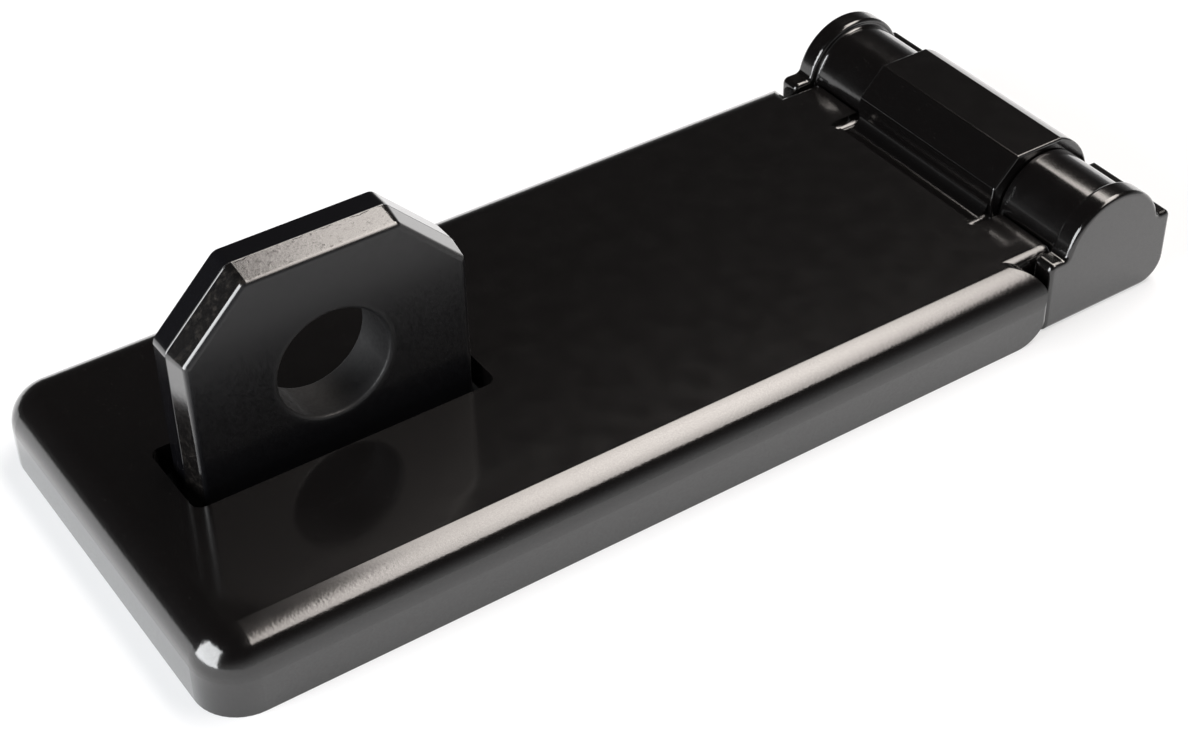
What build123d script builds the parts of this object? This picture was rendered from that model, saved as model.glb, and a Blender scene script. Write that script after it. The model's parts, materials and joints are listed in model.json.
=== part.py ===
from build123d import *
import math
import os

# A heavy hasp and staple: a forged flap with a hidden hinge pin swings over a screwed-down
# hinge bracket and drops over a hardened staple, whose base plate it then covers.
# Millimetres. X runs along the hasp, free end at -X and hinge at +X. Y runs across it.
# Z is out of the mounting surface, which is Z = 0. The origin is under the middle of the
# closed hasp. "Rise" is a height above the pin axis, "reach" a distance from it along X.

# Flap
overall_length = 150.0
flap_width = 62.0
flap_height = 10.5
flap_skin = 4.5
rim_wall = 4.5
top_round = 5.0
corner_round = 6.2
pocket_round = 1.5
end_round = 3.5
end_edge_round = 0.8
shelf_round = 1.5
shelf_edge_round = 0.4
slot_round = 1.5

# Hinge
pin_inset = 10.8
pin_diameter = 6.0
pin_end_gap = 0.1
pin_seat_clearance = 0.02
running_clearance = 0.06
knuckle_radius = 9.2
knuckle_width = 29.5
knuckle_side_gap = 0.25
knuckle_floor_gap = 0.3
knuckle_top_rise = 8.6
knuckle_top_front = 4.8
facet_reach = 8.8
facet_rise = 4.6
facet_foot_reach = 9.0
facet_foot_rise = 2.2
knuckle_edge_round = 0.35
trough_width = 3.8
trough_depth = 0.8
neck_inset = 0.75
notch_radius = 1.1
notch_length = 4.5
notch_overlap = 0.3
barrel_radius = 7.6
arch_height = 1.0
swing_gap = 0.3
cheek_thickness = 3.4
cheek_inset = 1.2
cheek_reach = 11.5
cheek_edge_round = 0.7
bead_round = 0.55
bead_foot_round = 0.4
shoulder_step = 0.3
shoulder_round = 1.0
ledge_step = 0.9
ledge_round = 0.8
arch_foot_round = 0.8
back_round = 4.0
flap_end_gap = 0.8

# Screw plates under the flap
plate_thickness = 3.2
plate_side_gap = 2.5
plate_end_gap = 2.5
plate_spacing = 14.0
plate_round = 4.0
screw_hole = 5.5
countersink = 9.6
screw_edge = 7.0
screw_row_gap = 11.0

# Staple
staple_width = 39.8
staple_thickness = 7.3
staple_height = 38.5
staple_from_end = 32.5
staple_chamfer = 9.2
staple_corner_round = 1.6
staple_edge_round = 0.8
hole_edge_round = 0.5
shear_depth = 3.3
shear_taper = 9.0
shackle_hole = 15.5
shackle_height = 21.2
tenon_width = 9.0
tenon_spacing = 22.0
slot_side_clearance = 2.9
slot_hinge_clearance = 1.2
slot_swing_clearance = 1.9

# Places worked out from the sizes
free_end = -overall_length / 2
back = overall_length / 2
pin_x = back - pin_inset
pin_z = knuckle_radius + knuckle_floor_gap
pin_radius = pin_diameter / 2
half_width = flap_width / 2
arch_radius = barrel_radius + arch_height
cheek_front = pin_x - cheek_reach
cheek_outer = half_width - cheek_inset
cheek_inner = cheek_outer - cheek_thickness
shoulder_z = flap_height + shoulder_step
ledge_z = flap_height + ledge_step
flap_side_end = cheek_front - flap_end_gap
flap_neck_end = pin_x - barrel_radius - swing_gap
skin_z = flap_height - flap_skin
knuckle_half = knuckle_width / 2
neck_half = knuckle_half - neck_inset
neck_start = flap_neck_end - notch_length - 2 * notch_radius
barrel_start = knuckle_half + knuckle_side_gap
window_front = pin_x - barrel_radius - 2 * swing_gap
window_reach = math.hypot(knuckle_top_rise, knuckle_top_front) + swing_gap
tie_rise = pin_z - plate_thickness
window_back = pin_x + math.sqrt(window_reach**2 - tie_rise**2) + swing_gap
staple_x = free_end + staple_from_end
plate_half = half_width - rim_wall - plate_side_gap
staple_plate_front = free_end + rim_wall + plate_end_gap
staple_plate_back = 2 * staple_x - staple_plate_front
leaf_front = staple_plate_back + plate_spacing
screw_y = plate_half - screw_edge


def across(outline, near, far):
    """Push an outline drawn in X and Z through the part, from y = near to y = far."""
    return Pos(0, far, 0) * extrude(Plane.XZ * outline, far - near)


def block(x0, x1, y0, y1, z0, z1):
    """A box between two corners."""
    middle = Pos((x0 + x1) / 2, (y0 + y1) / 2, (z0 + z1) / 2)
    return middle * Box(x1 - x0, y1 - y0, z1 - z0)


def from_pin(reach, rise):
    """A point of an X-Z outline, given from the pin axis, with reach towards the back."""
    return (pin_x + reach, pin_z + rise)


def pin_circle(radius):
    return Pos(pin_x, pin_z) * Circle(radius)


def rounded_plate(x0, x1, half, corner):
    """A flat screw plate on the mounting surface."""
    outline = RectangleRounded(x1 - x0, 2 * half, corner)
    return extrude(Pos((x0 + x1) / 2, 0) * outline, plate_thickness)


def screw_holes(x0, x1):
    """Four countersunk holes, two rows across the plate."""
    hole = Cylinder(screw_hole / 2, 3 * plate_thickness)
    sink_depth = (countersink - screw_hole) / 2
    sink = Pos(0, 0, plate_thickness - sink_depth / 2) * Cone(screw_hole / 2, countersink / 2, sink_depth)
    return [Pos(x, y, 0) * (hole + sink) for x in (x0, x1) for y in (-screw_y, screw_y)]


# Flap


def flap_cover():
    """The rounded cover with its rim, hollow underneath and open towards the hinge."""
    cover = block(free_end, flap_side_end, -half_width, half_width, 0, flap_height)
    upright = cover.edges().filter_by(Axis.Z).group_by(Axis.X)[0]
    cover = fillet(upright, corner_round)
    top = cover.faces().sort_by(Axis.Z)[-1].edges()
    hinge_edge = top.sort_by(Axis.X)[-1]
    cover = fillet([edge for edge in top if edge != hinge_edge], top_round)
    cover &= across(cover_side_view(), -half_width, half_width)
    plan = RectangleRounded(2 * (flap_side_end - free_end), flap_width, end_edge_round)
    cover &= extrude(Pos(free_end, 0) * plan, flap_height)
    cover += make_shelf()
    pocket_half = half_width - rim_wall
    pocket_end = flap_neck_end + rim_wall
    pocket = block(free_end + rim_wall, pocket_end, -pocket_half, pocket_half, -flap_skin, skin_z)
    upright = pocket.edges().filter_by(Axis.Z).group_by(Axis.X)[0]
    pocket = fillet(upright, corner_round - rim_wall)
    ceiling = pocket.faces().sort_by(Axis.Z)[-1].edges()
    pocket = fillet([edge for edge in ceiling if edge != ceiling.sort_by(Axis.X)[-1]], pocket_round)
    return cover - pocket


def cover_side_view():
    """Side view of the cover, rounded at the top of its hinge end."""
    corner = (flap_side_end, flap_height)
    outline = make_face(
        Polyline((free_end, 0), (flap_side_end, 0), corner, (free_end, flap_height), (free_end, 0))
    )
    return fillet(corner_at(outline, corner), end_round)


def make_shelf():
    """The flat top that runs on between the cheeks, up to the barrels."""
    half = cheek_inner - swing_gap
    start = flap_side_end - end_round - rim_wall
    shelf = block(start, flap_neck_end, -half, half, skin_z, flap_height)
    shelf = fillet(shelf.edges().filter_by(Axis.X).group_by(Axis.Z)[-1], shelf_round)
    end_edges = shelf.faces().sort_by(Axis.X)[-1].edges()
    return fillet([edge for edge in end_edges if edge.center().Z > skin_z], shelf_edge_round)


def staple_slot():
    x0 = staple_x - staple_width / 2 - slot_swing_clearance
    x1 = staple_x + staple_width / 2 + slot_hinge_clearance
    half = staple_thickness / 2 + slot_side_clearance
    outline = Pos((x0 + x1) / 2, 0) * RectangleRounded(x1 - x0, 2 * half, slot_round)
    return extrude(outline, 2 * flap_height)


def relief_notch(side):
    """The half-round groove that sets the tongue off from the cover, on one side."""
    length = notch_length + notch_radius
    groove = Pos(length / 2, 0, 0) * Rot(0, 90, 0) * Cylinder(notch_radius, length)
    middle = neck_half + notch_radius - notch_overlap
    start = Pos(flap_neck_end - notch_length, side * middle, flap_height)
    return start * (Sphere(notch_radius) + groove)


def neck_outline():
    """The tongue between the cover and the knuckle, with the shallow trough across its top."""
    start = (neck_start, flap_height)
    trough_end = from_pin(-facet_foot_reach, facet_foot_rise)
    trough_start = (trough_end[0] - trough_width, flap_height)
    trough_bottom = (trough_end[0] - trough_width / 2, flap_height - trough_depth)
    under = (pin_x, skin_z)
    top = Line(start, trough_start) + ThreePointArc(trough_start, trough_bottom, trough_end)
    rest = Polyline(trough_end, (pin_x, trough_end[1]), under, (start[0], skin_z), start)
    return make_face(top + rest)


def knuckle_outline():
    """The knuckle round the pin: round behind and below, flat on top, faceted in front."""
    top_back = math.sqrt(knuckle_radius**2 - knuckle_top_rise**2)
    lower_rise = skin_z - pin_z
    lower_reach = math.sqrt(knuckle_radius**2 - lower_rise**2)
    round_back = ThreePointArc(
        from_pin(top_back, knuckle_top_rise),
        from_pin(0, -knuckle_radius),
        from_pin(-lower_reach, lower_rise),
    )
    front = Polyline(
        from_pin(-lower_reach, lower_rise),
        from_pin(-facet_foot_reach, facet_foot_rise),
        from_pin(-facet_reach, facet_rise),
        from_pin(-knuckle_top_front, knuckle_top_rise),
        from_pin(top_back, knuckle_top_rise),
    )
    outline = make_face(round_back + front)
    ridges = [from_pin(-facet_reach, facet_rise), from_pin(-knuckle_top_front, knuckle_top_rise)]
    return fillet([corner_at(outline, ridge) for ridge in ridges], knuckle_edge_round)


def make_knuckle():
    knuckle = across(knuckle_outline(), -knuckle_half, knuckle_half)
    end_faces = knuckle.faces().filter_by(Axis.Y)
    return fillet([edge for face in end_faces for edge in face.edges()], knuckle_edge_round)


def make_flap():
    flap = flap_cover() - staple_slot()
    flap = flap - relief_notch(-1) - relief_notch(1)
    flap -= block(neck_start, back, -neck_half, neck_half, 0, 2 * flap_height)
    flap += across(neck_outline(), -neck_half, neck_half)
    flap += make_knuckle()
    return flap - across(pin_circle(pin_radius + running_clearance), -flap_width, flap_width)


# Hinge bracket


def cheek_outline():
    """Side view of an end cheek: front shoulder, arch round the pin, ledge, rounded back."""
    arch_front = math.sqrt(arch_radius**2 - (shoulder_z - pin_z) ** 2)
    arch_back = math.sqrt(arch_radius**2 - (ledge_z - pin_z) ** 2)
    foot = Polyline(
        (pin_x - arch_front, shoulder_z), (cheek_front, shoulder_z), (cheek_front, 0), (back, 0),
        (back, ledge_z), (pin_x + arch_back, ledge_z),
    )
    arch = ThreePointArc(
        (pin_x + arch_back, ledge_z), (pin_x, pin_z + arch_radius), (pin_x - arch_front, shoulder_z)
    )
    outline = make_face(foot + arch)
    left_to_right = outline.vertices().sort_by(Axis.X)
    foot_corner, shoulder_corner = left_to_right[:2].sort_by(Axis.Y)
    arch_foot, arch_heel = left_to_right[2:4]
    back_foot, ledge_corner = left_to_right[4:].sort_by(Axis.Y)
    outline = fillet(corner_at(outline, shoulder_corner), shoulder_round)
    outline = fillet([corner_at(outline, arch_foot), corner_at(outline, arch_heel)], arch_foot_round)
    outline = fillet(corner_at(outline, ledge_corner), ledge_round)
    return fillet(corner_at(outline, back_foot), back_round)


def corner_at(outline, place):
    """The corner of an outline that lies at a place, found again after an earlier fillet."""
    return outline.vertices().sort_by_distance(place)[0]


def make_cheek():
    """One end cheek on the near side, its outer edge softened all the way over the arch."""
    cheek = across(cheek_outline(), -cheek_outer, -cheek_inner)
    outer_edges = cheek.faces().sort_by(Axis.Y)[0].edges()
    return fillet([edge for edge in outer_edges if edge.center().Z > cheek_edge_round], cheek_edge_round)


def barrel_outline():
    """Side view of a side knuckle: a smooth barrel on a solid foot, with the ledge behind."""
    foot = Polyline(
        (pin_x - barrel_radius, pin_z), (pin_x - barrel_radius, 0), (back, 0), (back, ledge_z),
        (pin_x, ledge_z), (pin_x, pin_z), (pin_x - barrel_radius, pin_z),
    )
    outline = make_face(foot)
    corners = outline.vertices().filter_by_position(Axis.X, back, back).sort_by(Axis.Y)
    outline = fillet(corners[-1], ledge_round)
    corners = outline.vertices().filter_by_position(Axis.X, back, back).sort_by(Axis.Y)
    outline = fillet(corners[0], back_round)
    return outline + pin_circle(barrel_radius)


def make_hinge_side():
    """Cheek and barrel of the near side, with the arch standing round the barrel as a bead."""
    side = make_cheek() + across(barrel_outline(), -cheek_inner, -barrel_start)
    bead = [edge for edge in bead_circles(side) if edge.radius > barrel_radius + arch_height / 2]
    side = fillet(bead, bead_round)
    bead_foot = [edge for edge in bead_circles(side) if edge.radius < barrel_radius + arch_height / 4]
    return fillet(bead_foot, bead_foot_round)


def bead_circles(side):
    """The round edges in the plane where the arch stands up from the barrel."""
    round_edges = side.edges().filter_by(GeomType.CIRCLE)
    in_plane = round_edges.filter_by_position(Axis.Y, -cheek_inner - 0.01, -cheek_inner + 0.01)
    return [edge for edge in in_plane if edge.radius > pin_diameter]


def make_hinge_bracket():
    near_side = make_hinge_side()
    far_side = mirror(near_side, Plane.XZ)
    leaf = rounded_plate(leaf_front, back - back_round, plate_half, plate_round)
    leaf -= block(window_front, back, -barrel_start, barrel_start, -plate_thickness, 2 * plate_thickness)
    tie = block(window_back, back, -barrel_start, barrel_start, 0, plate_thickness)
    tie = fillet(tie.edges().filter_by(Axis.Y).group_by(Axis.X)[-1].sort_by(Axis.Z)[0], plate_thickness / 4)
    bracket = leaf + near_side + far_side + tie
    bracket -= across(pin_circle(pin_radius + pin_seat_clearance), -cheek_inner, cheek_inner)
    for hole in screw_holes(leaf_front + screw_edge, cheek_front - screw_row_gap):
        bracket -= hole
    return bracket


def make_hinge_pin():
    half = cheek_inner - pin_end_gap
    pin = across(pin_circle(pin_radius), -half, half)
    return chamfer(pin.edges().filter_by(GeomType.CIRCLE), pin_radius / 8)


# Staple


def staple_outline():
    """Front view of the staple above the mounting surface, with its two clipped corners."""
    x0 = staple_x - staple_width / 2
    x1 = staple_x + staple_width / 2
    shoulder = staple_height - staple_chamfer
    outline = make_face(
        Polyline(
            (x0, 0), (x0, shoulder), (x0 + staple_chamfer, staple_height),
            (x1 - staple_chamfer, staple_height), (x1, shoulder), (x1, 0), (x0, 0),
        )
    )
    upper = [corner for corner in outline.vertices() if corner.Y > plate_thickness]
    return fillet(upper, staple_corner_round)


def make_staple():
    """A blanked plate: a straight smooth band behind, a slightly tapered sheared band in front."""
    half = staple_thickness / 2
    outline = staple_outline()
    straight = across(outline, half - shear_depth, half)
    sheared = extrude(Plane.XZ * outline, staple_thickness - shear_depth, taper=shear_taper)
    plate = straight + Pos(0, half - shear_depth, 0) * sheared
    front = plate.faces().sort_by(Axis.Y)[0]
    plate = fillet([edge for edge in front.edges() if edge.center().Z > plate_thickness], staple_edge_round)
    below = block(free_end, back, -half_width, half_width, -flap_height, plate_thickness)
    plate -= below
    hole = across(Pos(staple_x, shackle_height) * Circle(shackle_hole / 2), -half, half)
    plate -= hole
    rims = [edge for edge in plate.edges().filter_by(GeomType.CIRCLE) if edge.radius == shackle_hole / 2]
    plate = fillet(rims, hole_edge_round)
    for side in (-1, 1):
        plate += tenon(side)
    return plate


def tenon(side):
    middle = staple_x + side * tenon_spacing / 2
    half = staple_thickness / 2 - staple_edge_round
    return block(middle - tenon_width / 2, middle + tenon_width / 2, -half, half, 0, plate_thickness)


def make_staple_plate():
    plate = rounded_plate(staple_plate_front, staple_plate_back, plate_half, plate_round)
    for hole in screw_holes(staple_plate_front + screw_edge, staple_plate_back - screw_edge):
        plate -= hole
    return plate - tenon(-1) - tenon(1)


nodes = {
    "flap": make_flap(),
    "hinge_bracket": make_hinge_bracket(),
    "hinge_pin": make_hinge_pin(),
    "staple": make_staple(),
    "staple_plate": make_staple_plate(),
}

os.makedirs("parts", exist_ok=True)
for name, solid in nodes.items():
    export_step(solid, f"parts/{name}.step")
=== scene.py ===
import json
import math
import bmesh
import bpy
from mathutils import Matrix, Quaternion, Vector
from mathutils.bvhtree import BVHTree
from mathutils.interpolate import poly_3d_calc


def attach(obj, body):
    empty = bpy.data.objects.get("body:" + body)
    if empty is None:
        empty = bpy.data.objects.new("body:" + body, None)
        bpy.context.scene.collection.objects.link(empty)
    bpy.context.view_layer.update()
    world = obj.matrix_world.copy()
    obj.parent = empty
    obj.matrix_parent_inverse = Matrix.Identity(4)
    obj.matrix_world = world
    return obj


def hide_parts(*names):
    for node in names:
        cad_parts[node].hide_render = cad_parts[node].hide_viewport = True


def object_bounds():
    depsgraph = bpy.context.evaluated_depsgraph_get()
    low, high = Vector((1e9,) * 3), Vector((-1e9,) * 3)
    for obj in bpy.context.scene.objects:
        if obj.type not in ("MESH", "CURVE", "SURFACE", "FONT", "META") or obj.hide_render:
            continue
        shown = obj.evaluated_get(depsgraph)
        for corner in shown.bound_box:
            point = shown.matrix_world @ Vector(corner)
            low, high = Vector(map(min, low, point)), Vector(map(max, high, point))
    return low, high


# The dressed hasp and staple. Metres, in the part's own frame: +X towards the hinge, +Z up.

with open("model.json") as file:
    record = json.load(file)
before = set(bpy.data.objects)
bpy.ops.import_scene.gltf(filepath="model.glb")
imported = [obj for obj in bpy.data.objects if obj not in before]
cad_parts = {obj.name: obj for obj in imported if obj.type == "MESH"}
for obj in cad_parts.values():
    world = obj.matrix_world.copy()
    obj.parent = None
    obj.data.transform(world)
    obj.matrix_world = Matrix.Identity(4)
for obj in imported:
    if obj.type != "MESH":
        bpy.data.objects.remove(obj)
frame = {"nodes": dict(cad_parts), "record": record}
cad_low, cad_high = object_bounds()
MM = 0.001

# Camera, fitted to the photograph's edges
CAMERA_AZIMUTH = -33.5
CAMERA_ELEVATION = 39.2
CAMERA_ROLL = -0.99
CAMERA_TARGET = Vector((-9.9, -11.7, 10.0)) * MM
CAMERA_DISTANCE = 300.1 * MM
LENS = 70.45
SENSOR_WIDTH = 36.0
CLIP_START = 0.01
CLIP_END = 20.0

# Coating of the flap, bracket and staple plate. A grain is a noise's scale, finer when higher.
COAT_IOR = 1.5
COAT_ROUGHNESS = 0.12
BLACK = (0.003, 0.0026, 0.0026, 1)
DUST_GREY = (0.05, 0.048, 0.045, 1)
DUST_GRAIN = 5200
GLOSS_GRAIN = 300
PEEL_GRAIN = 2400
SPECK_GRAIN = 6500
FLAP_ROUGHNESS = 0.16
FLAP_PEEL_DEPTH = 0.009 * MM
BRACKET_ROUGHNESS = 0.2
BRACKET_PEEL_DEPTH = 0.008 * MM

# Staple, whose edge is torn in front of the shear line, as sheared plate is
BLUE_BLACK = (0.003, 0.003, 0.0038, 1)
TORN_DARK = (0.004, 0.0037, 0.0037, 1)
TORN_LIGHT = (0.03, 0.027, 0.024, 1)
TEAR_GRAIN = 1100
TEAR_DEPTH = 0.012 * MM
SATIN_GRAIN = 2000
FACE_GRAIN = 2400
FACE_DEPTH = 0.003 * MM
SHEAR_LINE_Y = 0.35 * MM
SHEAR_WANDER = 0.55 * MM
SHEAR_WANDER_GRAIN = 350
SHEAR_SOFTNESS = 0.15 * MM
RIDGE_HALF_WIDTH = 0.12 * MM
RIDGE_HEIGHT = 0.05 * MM
SHACKLE_HOLE = next(m for m in frame["record"]["mounts"] if m["name"] == "shackle_hole")
HOLE_CENTRE = SHACKLE_HOLE["pos_m"]
HOLE_RADIUS = SHACKLE_HOLE["dims"]["r_mm"] * MM
HOLE_RIM = 1.0 * MM

# Pin
PIN_STEEL = (0.42, 0.42, 0.43, 1)
PIN_MARK_GRAIN = 800
PIN_RELIEF_GRAIN = 1200
PIN_RELIEF_DEPTH = 0.004 * MM

# Rounding of the flap's lower rear corners
FLAP_SIDE_END = 51.9 * MM
CORNER_RADIUS = 5.0 * MM
CORNER_STEPS = 12
CUTTER_MARGIN = 0.5 * MM
ROUNDING_TOLERANCE = 0.1 * MM

# Floor, lamps and world. Places and sizes are in metres, turns in degrees.
FLOOR_SIZE = 7.0
FLOOR_DROP = 0.05 * MM
FLOOR_WHITE = (0.86, 0.88, 0.91, 1)
FLOOR_ROUGHNESS = 0.9
FLOOR_SPECULAR = 0.1
FLOOR_GLOW = 0.55
OVERHEAD_PLACE = Vector((0.492, -0.05, 0.9))
OVERHEAD_SIZE = (0.56, 1.36)
OVERHEAD_TURN = -6.5
OVERHEAD_RADIANCE = 9.4
OVERHEAD_HOT_SPOT = (0.6, 0.45, 0.0)
OVERHEAD_FADE = (0.15, 0.6)
OVERHEAD_EDGE = 0.55
OVERHEAD_SOFT_SIDE = 0.05
OVERHEAD_COLOUR = (1.0, 0.93, 0.875)
SIDE_PLACE = Vector((-0.37, -0.01, 0.16))
SIDE_SIZE = (0.3, 0.32)
SIDE_RADIANCE = 9.0
SIDE_COLOUR = (0.97, 0.985, 1.0)
GLOW_AZIMUTH = 25.0
GLOW_TILT = 0.2
GLOW_RANGE = (-0.2, 1.0)
GLOW_STOPS = ((0.0, 0.85), (0.08, 0.66), (0.22, 0.34), (0.37, 0.11), (0.51, 0.027), (1.0, 0.012))


def direction(azimuth, elevation):
    """Unit vector from the object: azimuth 0 points along -Y and 90 along +X."""
    a = math.radians(azimuth)
    e = math.radians(elevation)
    return Vector((math.sin(a) * math.cos(e), -math.cos(a) * math.cos(e), math.sin(e)))


def collection_add(thing):
    bpy.context.scene.collection.objects.link(thing)
    return thing


# Node helpers


def new_material(name):
    """An empty node material: its tree and its surface shader."""
    material = bpy.data.materials.new(name)
    material.use_nodes = True
    tree = material.node_tree
    return material, tree, tree.nodes["Principled BSDF"]


def noise(tree, scale, detail=3.0, roughness=0.5):
    """Noise in the object's own metres, so that its grain stays at its real size."""
    place = tree.nodes.new("ShaderNodeTexCoord")
    texture = tree.nodes.new("ShaderNodeTexNoise")
    texture.inputs["Scale"].default_value = scale
    texture.inputs["Detail"].default_value = detail
    texture.inputs["Roughness"].default_value = roughness
    tree.links.new(place.outputs["Object"], texture.inputs["Vector"])
    return texture.outputs["Fac"]


def spread(tree, value, low, high, out_low, out_high):
    """Maps low to high of a value onto a new range, clamped."""
    node = tree.nodes.new("ShaderNodeMapRange")
    node.inputs["From Min"].default_value = low
    node.inputs["From Max"].default_value = high
    node.inputs["To Min"].default_value = out_low
    node.inputs["To Max"].default_value = out_high
    tree.links.new(value, node.inputs["Value"])
    return node.outputs["Result"]


def blend_colours(tree, factor, first, second):
    """Mixes two colours, each a constant or a node's output."""
    node = tree.nodes.new("ShaderNodeMix")
    node.data_type = "RGBA"
    tree.links.new(factor, node.inputs["Factor"])
    for socket, colour in ((node.inputs[6], first), (node.inputs[7], second)):
        if isinstance(colour, tuple):
            socket.default_value = colour
        else:
            tree.links.new(colour, socket)
    return node.outputs[2]


def product(tree, first, second):
    node = tree.nodes.new("ShaderNodeMath")
    node.operation = "MULTIPLY"
    tree.links.new(first, node.inputs[0])
    tree.links.new(second, node.inputs[1])
    return node.outputs["Value"]


def bump(tree, height, depth, base=None):
    """Bump with a real depth in metres, stacked on an earlier one."""
    node = tree.nodes.new("ShaderNodeBump")
    node.inputs["Strength"].default_value = 1.0
    node.inputs["Distance"].default_value = depth
    tree.links.new(height, node.inputs["Height"])
    if base:
        tree.links.new(base, node.inputs["Normal"])
    return node.outputs["Normal"]


# Materials


def coat(tree, shader, weight, relief):
    """The glossy clear layer of the coating, and the relief that it and the colour follow."""
    shader.inputs["IOR"].default_value = COAT_IOR
    tree.links.new(weight, shader.inputs["Coat Weight"])
    shader.inputs["Coat IOR"].default_value = COAT_IOR
    shader.inputs["Coat Roughness"].default_value = COAT_ROUGHNESS
    tree.links.new(relief, shader.inputs["Normal"])
    tree.links.new(relief, shader.inputs["Coat Normal"])


def part_of(tree, output, axis):
    """One part of the object's own coordinates or of its normal, which bump leaves alone."""
    place = tree.nodes.new("ShaderNodeTexCoord")
    parts = tree.nodes.new("ShaderNodeSeparateXYZ")
    tree.links.new(place.outputs[output], parts.inputs["Vector"])
    return parts.outputs[axis]


def coating(name, rough, peel_depth):
    """Glossy black coat over steel, with less orange peel where the steel is ground flat."""
    material, tree, shader = new_material(name)
    dust = spread(tree, noise(tree, DUST_GRAIN, detail=1.0), 0.74, 0.8, 0.0, 0.6)
    tree.links.new(blend_colours(tree, dust, BLACK, DUST_GREY), shader.inputs["Base Color"])
    gloss = spread(tree, noise(tree, GLOSS_GRAIN, detail=4.0), 0.3, 0.7, COAT_ROUGHNESS, rough)
    tree.links.new(gloss, shader.inputs["Roughness"])
    unground = spread(tree, part_of(tree, "Normal", "Z"), 0.9, 0.995, 1.0, 0.12)
    peel = product(tree, noise(tree, PEEL_GRAIN, detail=3.0), unground)
    specks = spread(tree, noise(tree, SPECK_GRAIN, detail=2.0), 0.35, 0.65, 0.75, 1.0)
    coat(tree, shader, specks, bump(tree, peel, peel_depth))
    return material


def staple_steel():
    """Hardened plate: satin faces, a dull hole, and a glossy cut edge that is torn in front."""
    material, tree, shader = new_material("staple_coat")
    outside_hole = spread(tree, distance_to_hole(tree), HOLE_RADIUS, HOLE_RADIUS + HOLE_RIM, 0, 1)
    edge = product(tree, cut_edge(tree), outside_hole)
    band = product(tree, torn_band(tree), edge)
    grain = noise(tree, TEAR_GRAIN, detail=6.0, roughness=0.75)
    torn = blend_colours(tree, spread(tree, grain, 0.5, 0.72, 0.0, 0.8), TORN_DARK, TORN_LIGHT)
    tree.links.new(blend_colours(tree, band, BLUE_BLACK, torn), shader.inputs["Base Color"])
    upward = spread(tree, part_of(tree, "Normal", "Z"), 0.8, 0.95, 0, 1)
    tears = product(tree, grain, product(tree, band, upward))
    satin = spread(tree, noise(tree, SATIN_GRAIN, detail=3.0), 0.3, 0.7, 0.28, 0.38)
    satin = product(tree, satin, spread(tree, edge, 0, 1, 1.0, 0.38))
    satin = product(tree, satin, spread(tree, outside_hole, 0, 1, 1.9, 1.0))
    satin = product(tree, satin, spread(tree, tears, 0.58, 0.68, 1.0, 3.0))
    tree.links.new(satin, shader.inputs["Roughness"])
    intact = spread(tree, tears, 0.56, 0.64, 1.0, 0.2)
    glaze = product(tree, spread(tree, edge, 0, 1, 0.05, 1.0), intact)
    relief = bump(tree, noise(tree, FACE_GRAIN, detail=2.0), FACE_DEPTH)
    relief = bump(tree, tears, TEAR_DEPTH, relief)
    relief = bump(tree, product(tree, shear_ridge(tree), edge), RIDGE_HEIGHT, relief)
    coat(tree, shader, glaze, relief)
    return material


def cut_edge(tree):
    """1 on the plate's cut edges, 0 on its two flat faces."""
    across = part_of(tree, "Normal", "Y")
    off_front = spread(tree, across, -0.75, -0.45, 0, 1)
    return product(tree, off_front, spread(tree, across, 0.45, 0.75, 1, 0))


def torn_band(tree):
    """1 in front of the shear line, which wanders a little, and 0 behind it."""
    bends = noise(tree, SHEAR_WANDER_GRAIN, detail=5.0)
    wander = spread(tree, bends, 0.25, 0.75, -SHEAR_WANDER, SHEAR_WANDER)
    line = tree.nodes.new("ShaderNodeMath")
    line.operation = "ADD"
    tree.links.new(part_of(tree, "Object", "Y"), line.inputs[0])
    tree.links.new(wander, line.inputs[1])
    torn_from = SHEAR_LINE_Y - SHEAR_SOFTNESS
    return spread(tree, line.outputs["Value"], SHEAR_LINE_Y, torn_from, 0, 1)


def shear_ridge(tree):
    """A thin ridge along the shear line."""
    y = part_of(tree, "Object", "Y")
    rise = spread(tree, y, SHEAR_LINE_Y - RIDGE_HALF_WIDTH, SHEAR_LINE_Y, 0, 1)
    return product(tree, rise, spread(tree, y, SHEAR_LINE_Y, SHEAR_LINE_Y + RIDGE_HALF_WIDTH, 1, 0))


def distance_to_hole(tree):
    """Distance from the axis of the shackle hole."""
    place = tree.nodes.new("ShaderNodeTexCoord")
    flat = tree.nodes.new("ShaderNodeVectorMath")
    flat.operation = "MULTIPLY"
    flat.inputs[1].default_value = (1, 0, 1)
    tree.links.new(place.outputs["Object"], flat.inputs[0])
    distance = tree.nodes.new("ShaderNodeVectorMath")
    distance.operation = "DISTANCE"
    distance.inputs[1].default_value = HOLE_CENTRE
    tree.links.new(flat.outputs["Vector"], distance.inputs[0])
    return distance.outputs["Value"]


def ground_steel():
    """Bare ground pin with faint marks."""
    material, tree, shader = new_material("ground_pin")
    marks = spread(tree, noise(tree, PIN_MARK_GRAIN, detail=4.0), 0.3, 0.7, 0.22, 0.38)
    tree.links.new(marks, shader.inputs["Roughness"])
    shader.inputs["Base Color"].default_value = PIN_STEEL
    shader.inputs["Metallic"].default_value = 1.0
    relief = bump(tree, noise(tree, PIN_RELIEF_GRAIN), PIN_RELIEF_DEPTH)
    tree.links.new(relief, shader.inputs["Normal"])
    return material


def dress(node, material):
    frame["nodes"][node].material_slots[0].material = material


bracket_coat = coating("bracket_coat", BRACKET_ROUGHNESS, BRACKET_PEEL_DEPTH)
dress("flap", coating("flap_coat", FLAP_ROUGHNESS, FLAP_PEEL_DEPTH))
dress("hinge_bracket", bracket_coat)
dress("staple_plate", bracket_coat)
dress("hinge_pin", ground_steel())
dress("staple", staple_steel())


# The flap's lower rear corners


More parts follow.
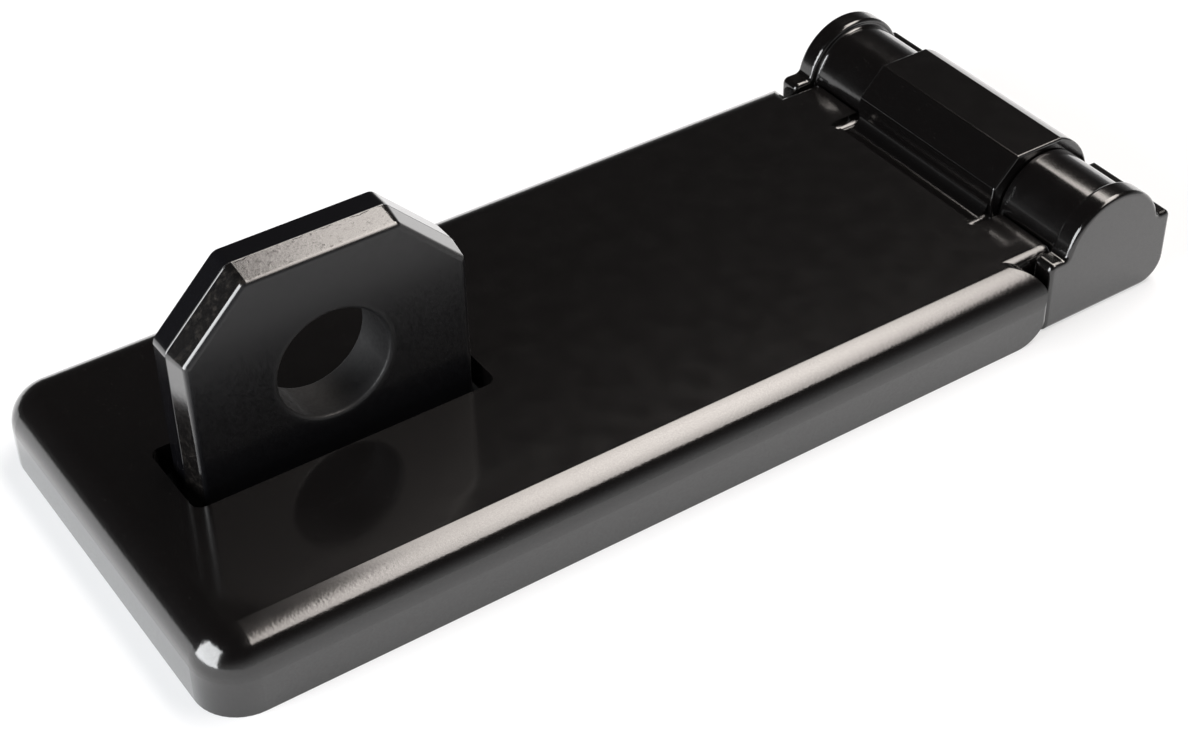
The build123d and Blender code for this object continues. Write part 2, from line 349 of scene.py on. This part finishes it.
def corner_cutter():
    """A prism over the full width: what lies outside the rounding of the lower rear corners."""
    centre_x = FLAP_SIDE_END - CORNER_RADIUS
    profile = [(centre_x, -CUTTER_MARGIN), (FLAP_SIDE_END + CUTTER_MARGIN, -CUTTER_MARGIN)]
    profile.append((FLAP_SIDE_END + CUTTER_MARGIN, CORNER_RADIUS))
    for step in range(CORNER_STEPS + 1):
        turn = math.radians(90 * step / CORNER_STEPS)
        across = centre_x + CORNER_RADIUS * math.cos(turn)
        profile.append((across, CORNER_RADIUS - CORNER_RADIUS * math.sin(turn)))
    half_width = cad_high[1] + CUTTER_MARGIN
    points = [(x, y, z) for y in (-half_width, half_width) for x, z in profile]
    count = len(profile)
    sides = [(i, (i + 1) % count, (i + 1) % count + count, i + count) for i in range(count)]
    ends = [tuple(reversed(range(count))), tuple(range(count, 2 * count))]
    mesh = bpy.data.meshes.new("corner_cutter")
    mesh.from_pydata(points, [], sides + ends)
    shape = bmesh.new()
    shape.from_mesh(mesh)
    bmesh.ops.recalc_face_normals(shape, faces=shape.faces)
    shape.to_mesh(mesh)
    shape.free()
    return mesh


def from_corner_axis(point):
    """The direction and distance of a point from the axis of the rounding."""
    offset = Vector((point.x - FLAP_SIDE_END + CORNER_RADIUS, 0, point.z - CORNER_RADIUS))
    return offset.normalized(), offset.length


def keep_shading(mesh, solid):
    """Gives the rounding its true normals, and every other face those of the solid."""
    search = BVHTree.FromPolygons(
        [v.co for v in solid.vertices], [tuple(face.vertices) for face in solid.polygons]
    )
    normals = []
    for face in mesh.polygons:
        distance = from_corner_axis(face.center)[1]
        on_cylinder = abs(distance - CORNER_RADIUS) < ROUNDING_TOLERANCE
        rounded = on_cylinder and abs(face.normal.y) < 0.5 and face.center.z < CORNER_RADIUS
        source = solid.polygons[search.find_nearest(face.center)[2]]
        outline = [solid.vertices[v].co for v in source.vertices]
        corners = [solid.corner_normals[i].vector for i in source.loop_indices]
        for vertex in face.vertices:
            point = mesh.vertices[vertex].co
            if rounded:
                normals.append(from_corner_axis(point)[0])
                continue
            weights = poly_3d_calc(outline, point)
            blended = sum((c * w for c, w in zip(corners, weights)), Vector())
            normals.append(blended.normalized())
    mesh.shade_smooth()
    mesh.normals_split_custom_set(normals)


def round_flap_corners():
    """The flap again, with its two lower rear corners rounded."""
    solid = frame["nodes"]["flap"].data
    piece = collection_add(bpy.data.objects.new("flap_rounded", solid.copy()))
    cutter = collection_add(bpy.data.objects.new("corner_cutter", corner_cutter()))
    cut = piece.modifiers.new("cut", "BOOLEAN")
    cut.solver = "EXACT"
    cut.object = cutter
    graph = bpy.context.evaluated_depsgraph_get()
    mesh = bpy.data.meshes.new_from_object(piece.evaluated_get(graph))
    piece.modifiers.clear()
    bpy.data.objects.remove(cutter)
    keep_shading(mesh, solid)
    piece.data = mesh
    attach(piece, "cover")
    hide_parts("flap")


round_flap_corners()


# Studio


def make_floor():
    half = FLOOR_SIZE / 2
    mesh = bpy.data.meshes.new("floor")
    corners = [(-half, -half, -FLOOR_DROP), (half, -half, -FLOOR_DROP), (half, half, -FLOOR_DROP)]
    corners.append((-half, half, -FLOOR_DROP))
    mesh.from_pydata(corners, [], [(0, 1, 2, 3)])
    material, tree, shader = new_material("floor_white")
    shader.inputs["Base Color"].default_value = FLOOR_WHITE
    shader.inputs["Roughness"].default_value = FLOOR_ROUGHNESS
    shader.inputs["Specular IOR Level"].default_value = FLOOR_SPECULAR
    lift_to_white(tree, shader)
    mesh.materials.append(material)
    floor = collection_add(bpy.data.objects.new("floor", mesh))


def lift_to_white(tree, shader):
    """Mixes plain white into what is seen of the floor, straight or mirrored, under its shadow."""
    white = tree.nodes.new("ShaderNodeEmission")
    rays = tree.nodes.new("ShaderNodeLightPath")
    seen = rays.outputs["Is Camera Ray"]
    for kind in ("Is Glossy Ray", "Is Transmission Ray"):
        either = tree.nodes.new("ShaderNodeMath")
        either.operation = "MAXIMUM"
        tree.links.new(seen, either.inputs[0])
        tree.links.new(rays.outputs[kind], either.inputs[1])
        seen = either.outputs["Value"]
    mix = tree.nodes.new("ShaderNodeMixShader")
    tree.links.new(spread(tree, seen, 0, 1, 0, FLOOR_GLOW), mix.inputs["Fac"])
    tree.links.new(shader.outputs["BSDF"], mix.inputs[1])
    tree.links.new(white.outputs["Emission"], mix.inputs[2])
    tree.links.new(mix.outputs["Shader"], tree.nodes["Material Output"].inputs["Surface"])


def make_lamp(name, place, size, radiance, colour, aim, turn=0.0):
    """A rectangular softbox of a given radiance that faces the point aim, turned about that line."""
    lamp = bpy.data.lights.new(name, "AREA")
    lamp.shape = "RECTANGLE"
    lamp.size, lamp.size_y = size
    lamp.energy = radiance * math.pi * size[0] * size[1]
    lamp.color = colour
    thing = collection_add(bpy.data.objects.new(name, lamp))
    thing.location = place
    thing.rotation_mode = "QUATERNION"
    facing = (place - aim).to_track_quat("Z", "Y")
    thing.rotation_quaternion = facing @ Quaternion((0, 0, 1), math.radians(turn))
    return lamp


def fade_to_edge(lamp):
    """Fades the overhead softbox from its hot spot, and softens its side towards -X.

    Before its turn, its own X and Y point to the part's -X and -Y.
    """
    lamp.use_nodes = True
    tree = lamp.node_tree
    place = tree.nodes.new("ShaderNodeNewGeometry")
    distance = tree.nodes.new("ShaderNodeVectorMath")
    distance.operation = "DISTANCE"
    distance.inputs[1].default_value = OVERHEAD_HOT_SPOT
    tree.links.new(place.outputs["Parametric"], distance.inputs[0])
    level = spread(tree, distance.outputs["Value"], *OVERHEAD_FADE, 1, OVERHEAD_EDGE)
    parts = tree.nodes.new("ShaderNodeSeparateXYZ")
    tree.links.new(place.outputs["Parametric"], parts.inputs["Vector"])
    side = spread(tree, parts.outputs["X"], 1 - OVERHEAD_SOFT_SIDE, 1, 1, 0)
    tree.links.new(product(tree, level, side), tree.nodes["Emission"].inputs["Strength"])


def make_lamps():
    below = Vector((OVERHEAD_PLACE.x, OVERHEAD_PLACE.y, 0))
    look = (OVERHEAD_SIZE, OVERHEAD_RADIANCE, OVERHEAD_COLOUR)
    fade_to_edge(make_lamp("overhead", OVERHEAD_PLACE, *look, below, OVERHEAD_TURN))
    level = Vector((0, 0, SIDE_PLACE.z))
    make_lamp("side", SIDE_PLACE, SIDE_SIZE, SIDE_RADIANCE, SIDE_COLOUR, level)


def make_world():
    """A dark studio with a low glow on one side."""
    world = bpy.data.worlds.new("studio")
    bpy.context.scene.world = world
    world.use_nodes = True
    tree = world.node_tree
    place = tree.nodes.new("ShaderNodeTexCoord")
    height = tree.nodes.new("ShaderNodeVectorMath")
    height.operation = "DOT_PRODUCT"
    height.inputs[1].default_value = Vector((0, 0, 1)) - direction(GLOW_AZIMUTH, 0) * GLOW_TILT
    tree.links.new(place.outputs["Generated"], height.inputs[0])
    ramp = tree.nodes.new("ShaderNodeValToRGB")
    level = spread(tree, height.outputs["Value"], *GLOW_RANGE, 0, 1)
    tree.links.new(level, ramp.inputs["Fac"])
    stops = ramp.color_ramp.elements
    for position, _ in GLOW_STOPS[1:-1]:
        stops.new(position)
    for stop, (position, strength) in zip(stops, GLOW_STOPS):
        stop.position = position
        stop.color = (strength, strength, strength, 1)
    tree.links.new(ramp.outputs["Color"], tree.nodes["Background"].inputs["Color"])


def make_camera():
    camera = bpy.data.cameras.new("camera")
    camera.lens = LENS
    camera.sensor_width = SENSOR_WIDTH
    camera.clip_start = CLIP_START
    camera.clip_end = CLIP_END
    thing = collection_add(bpy.data.objects.new("camera", camera))
    back = direction(CAMERA_AZIMUTH, CAMERA_ELEVATION)
    thing.location = CAMERA_TARGET + back * CAMERA_DISTANCE
    thing.rotation_mode = "QUATERNION"
    roll = Quaternion((0, 0, 1), math.radians(CAMERA_ROLL))
    thing.rotation_quaternion = (-back).to_track_quat("-Z", "Y") @ roll
    bpy.context.scene.camera = thing


make_floor()
make_lamps()
make_world()
make_camera()
bpy.context.scene.view_settings.view_transform = "Standard"
